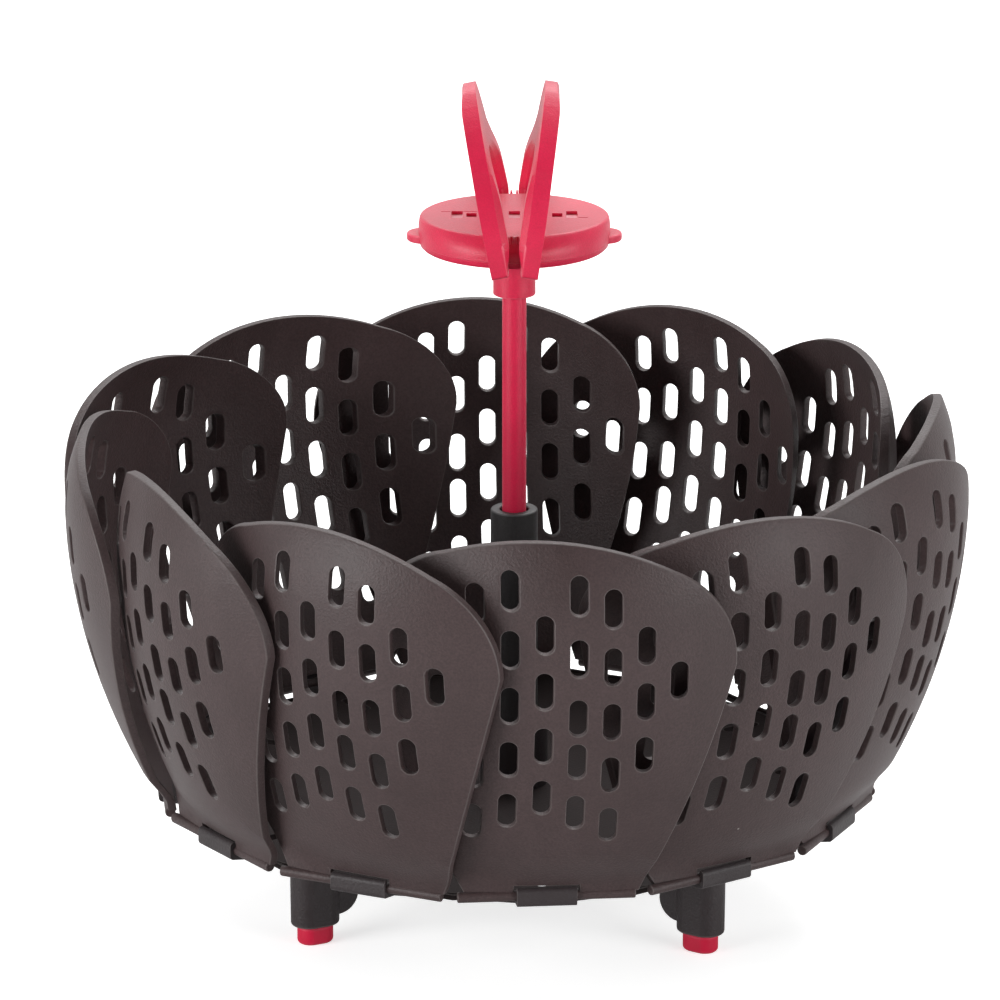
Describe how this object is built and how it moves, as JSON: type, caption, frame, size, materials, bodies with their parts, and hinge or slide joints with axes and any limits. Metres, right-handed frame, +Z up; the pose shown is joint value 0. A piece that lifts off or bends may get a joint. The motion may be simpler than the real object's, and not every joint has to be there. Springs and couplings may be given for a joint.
{
  "type": "steamer basket",
  "caption": "Folding steamer basket with perforated petals hinged round a base plate on legs, a telescopic centre post and a red grip with two folding wings.",
  "frame": {"origin": "on the floor under the middle of the open basket", "axes": "+Z up along the centre post, +X to the right and -Y towards the viewer of the picture; the grip's wings fold about Y"},
  "size_m": [0.1954, 0.1954, 0.1867],
  "materials": {
    "dark_nylon": "matte",
    "black_nylon": "matte",
    "red_grip": "matte",
    "red_silicone": "matte"
  },
  "bodies": {
    "base": {"base_plate": "dark_nylon", "hub_socket": "dark_nylon", "leg_1": "dark_nylon", "leg_2": "dark_nylon", "leg_3": "dark_nylon", "foot_tip_1": "red_silicone", "foot_tip_2": "red_silicone", "foot_tip_3": "red_silicone"},
    "petal_01": {"petal_01": "dark_nylon"},
    "petal_02": {"petal_02": "dark_nylon"},
    "petal_03": {"petal_03": "dark_nylon"},
    "petal_04": {"petal_04": "dark_nylon"},
    "petal_05": {"petal_05": "dark_nylon"},
    "petal_06": {"petal_06": "dark_nylon"},
    "petal_07": {"petal_07": "dark_nylon"},
    "petal_08": {"petal_08": "dark_nylon"},
    "petal_09": {"petal_09": "dark_nylon"},
    "petal_10": {"petal_10": "dark_nylon"},
    "petal_11": {"petal_11": "dark_nylon"},
    "petal_12": {"petal_12": "dark_nylon"},
    "tube": {"middle_tube": "black_nylon"},
    "grip": {"stem": "red_grip", "grip_disc": "red_grip"},
    "wing_left": {"wing_left": "red_grip"},
    "wing_right": {"wing_right": "red_grip"}
  },
  "joints": [
    {"name": "petal_01_fold", "type": "hinge", "parent": "base", "child": "petal_01", "pos_m": [0.00662, -0.07571, 0.031], "axis": [-0.9962, -0.0872, 0], "range_deg": [0, 53]},
    {"name": "petal_02_fold", "type": "hinge", "parent": "base", "child": "petal_02", "pos_m": [0.04359, -0.06226, 0.031], "axis": [-0.8192, -0.5736, 0], "range_deg": [0, 53]},
    {"name": "petal_03_fold", "type": "hinge", "parent": "base", "child": "petal_03", "pos_m": [0.06888, -0.03212, 0.031], "axis": [-0.4226, -0.9063, 0], "range_deg": [0, 53]},
    {"name": "petal_04_fold", "type": "hinge", "parent": "base", "child": "petal_04", "pos_m": [0.07571, 0.00662, 0.031], "axis": [0.0872, -0.9962, 0], "range_deg": [0, 53]},
    {"name": "petal_05_fold", "type": "hinge", "parent": "base", "child": "petal_05", "pos_m": [0.06226, 0.04359, 0.031], "axis": [0.5736, -0.8192, 0], "range_deg": [0, 53]},
    {"name": "petal_06_fold", "type": "hinge", "parent": "base", "child": "petal_06", "pos_m": [0.03212, 0.06888, 0.031], "axis": [0.9063, -0.4226, 0], "range_deg": [0, 53]},
    {"name": "petal_07_fold", "type": "hinge", "parent": "base", "child": "petal_07", "pos_m": [-0.00662, 0.07571, 0.031], "axis": [0.9962, 0.0872, 0], "range_deg": [0, 53]},
    {"name": "petal_08_fold", "type": "hinge", "parent": "base", "child": "petal_08", "pos_m": [-0.04359, 0.06226, 0.031], "axis": [0.8192, 0.5736, 0], "range_deg": [0, 53]},
    {"name": "petal_09_fold", "type": "hinge", "parent": "base", "child": "petal_09", "pos_m": [-0.06888, 0.03212, 0.031], "axis": [0.4226, 0.9063, 0], "range_deg": [0, 53]},
    {"name": "petal_10_fold", "type": "hinge", "parent": "base", "child": "petal_10", "pos_m": [-0.07571, -0.00662, 0.031], "axis": [-0.0872, 0.9962, 0], "range_deg": [0, 53]},
    {"name": "petal_11_fold", "type": "hinge", "parent": "base", "child": "petal_11", "pos_m": [-0.06226, -0.04359, 0.031], "axis": [-0.5736, 0.8192, 0], "range_deg": [0, 53]},
    {"name": "petal_12_fold", "type": "hinge", "parent": "base", "child": "petal_12", "pos_m": [-0.03212, -0.06888, 0.031], "axis": [-0.9063, 0.4226, 0], "range_deg": [0, 53]},
    {"name": "tube_slide", "type": "slide", "parent": "base", "child": "tube", "axis": [0, 0, 1], "range_m": [-0.016, 0]},
    {"name": "stem_slide", "type": "slide", "parent": "tube", "child": "grip", "axis": [0, 0, 1], "range_m": [-0.03, 0]},
    {"name": "wing_left_fold", "type": "hinge", "parent": "grip", "child": "wing_left", "pos_m": [-0.0034, 0, 0.1523], "axis": [0, 1, 0], "range_deg": [-66, 12]},
    {"name": "wing_right_fold", "type": "hinge", "parent": "grip", "child": "wing_right", "pos_m": [0.0034, 0, 0.1523], "axis": [0, 1, 0], "range_deg": [-9.5, 69]}
  ],
  "couplings": [
    {"joint": "petal_02_fold", "follows": "petal_01_fold", "ratio": 1},
    {"joint": "petal_03_fold", "follows": "petal_01_fold", "ratio": 1},
    {"joint": "petal_04_fold", "follows": "petal_01_fold", "ratio": 1},
    {"joint": "petal_05_fold", "follows": "petal_01_fold", "ratio": 1},
    {"joint": "petal_06_fold", "follows": "petal_01_fold", "ratio": 1},
    {"joint": "petal_07_fold", "follows": "petal_01_fold", "ratio": 1},
    {"joint": "petal_08_fold", "follows": "petal_01_fold", "ratio": 1},
    {"joint": "petal_09_fold", "follows": "petal_01_fold", "ratio": 1},
    {"joint": "petal_10_fold", "follows": "petal_01_fold", "ratio": 1},
    {"joint": "petal_11_fold", "follows": "petal_01_fold", "ratio": 1},
    {"joint": "petal_12_fold", "follows": "petal_01_fold", "ratio": 1}
  ]
}
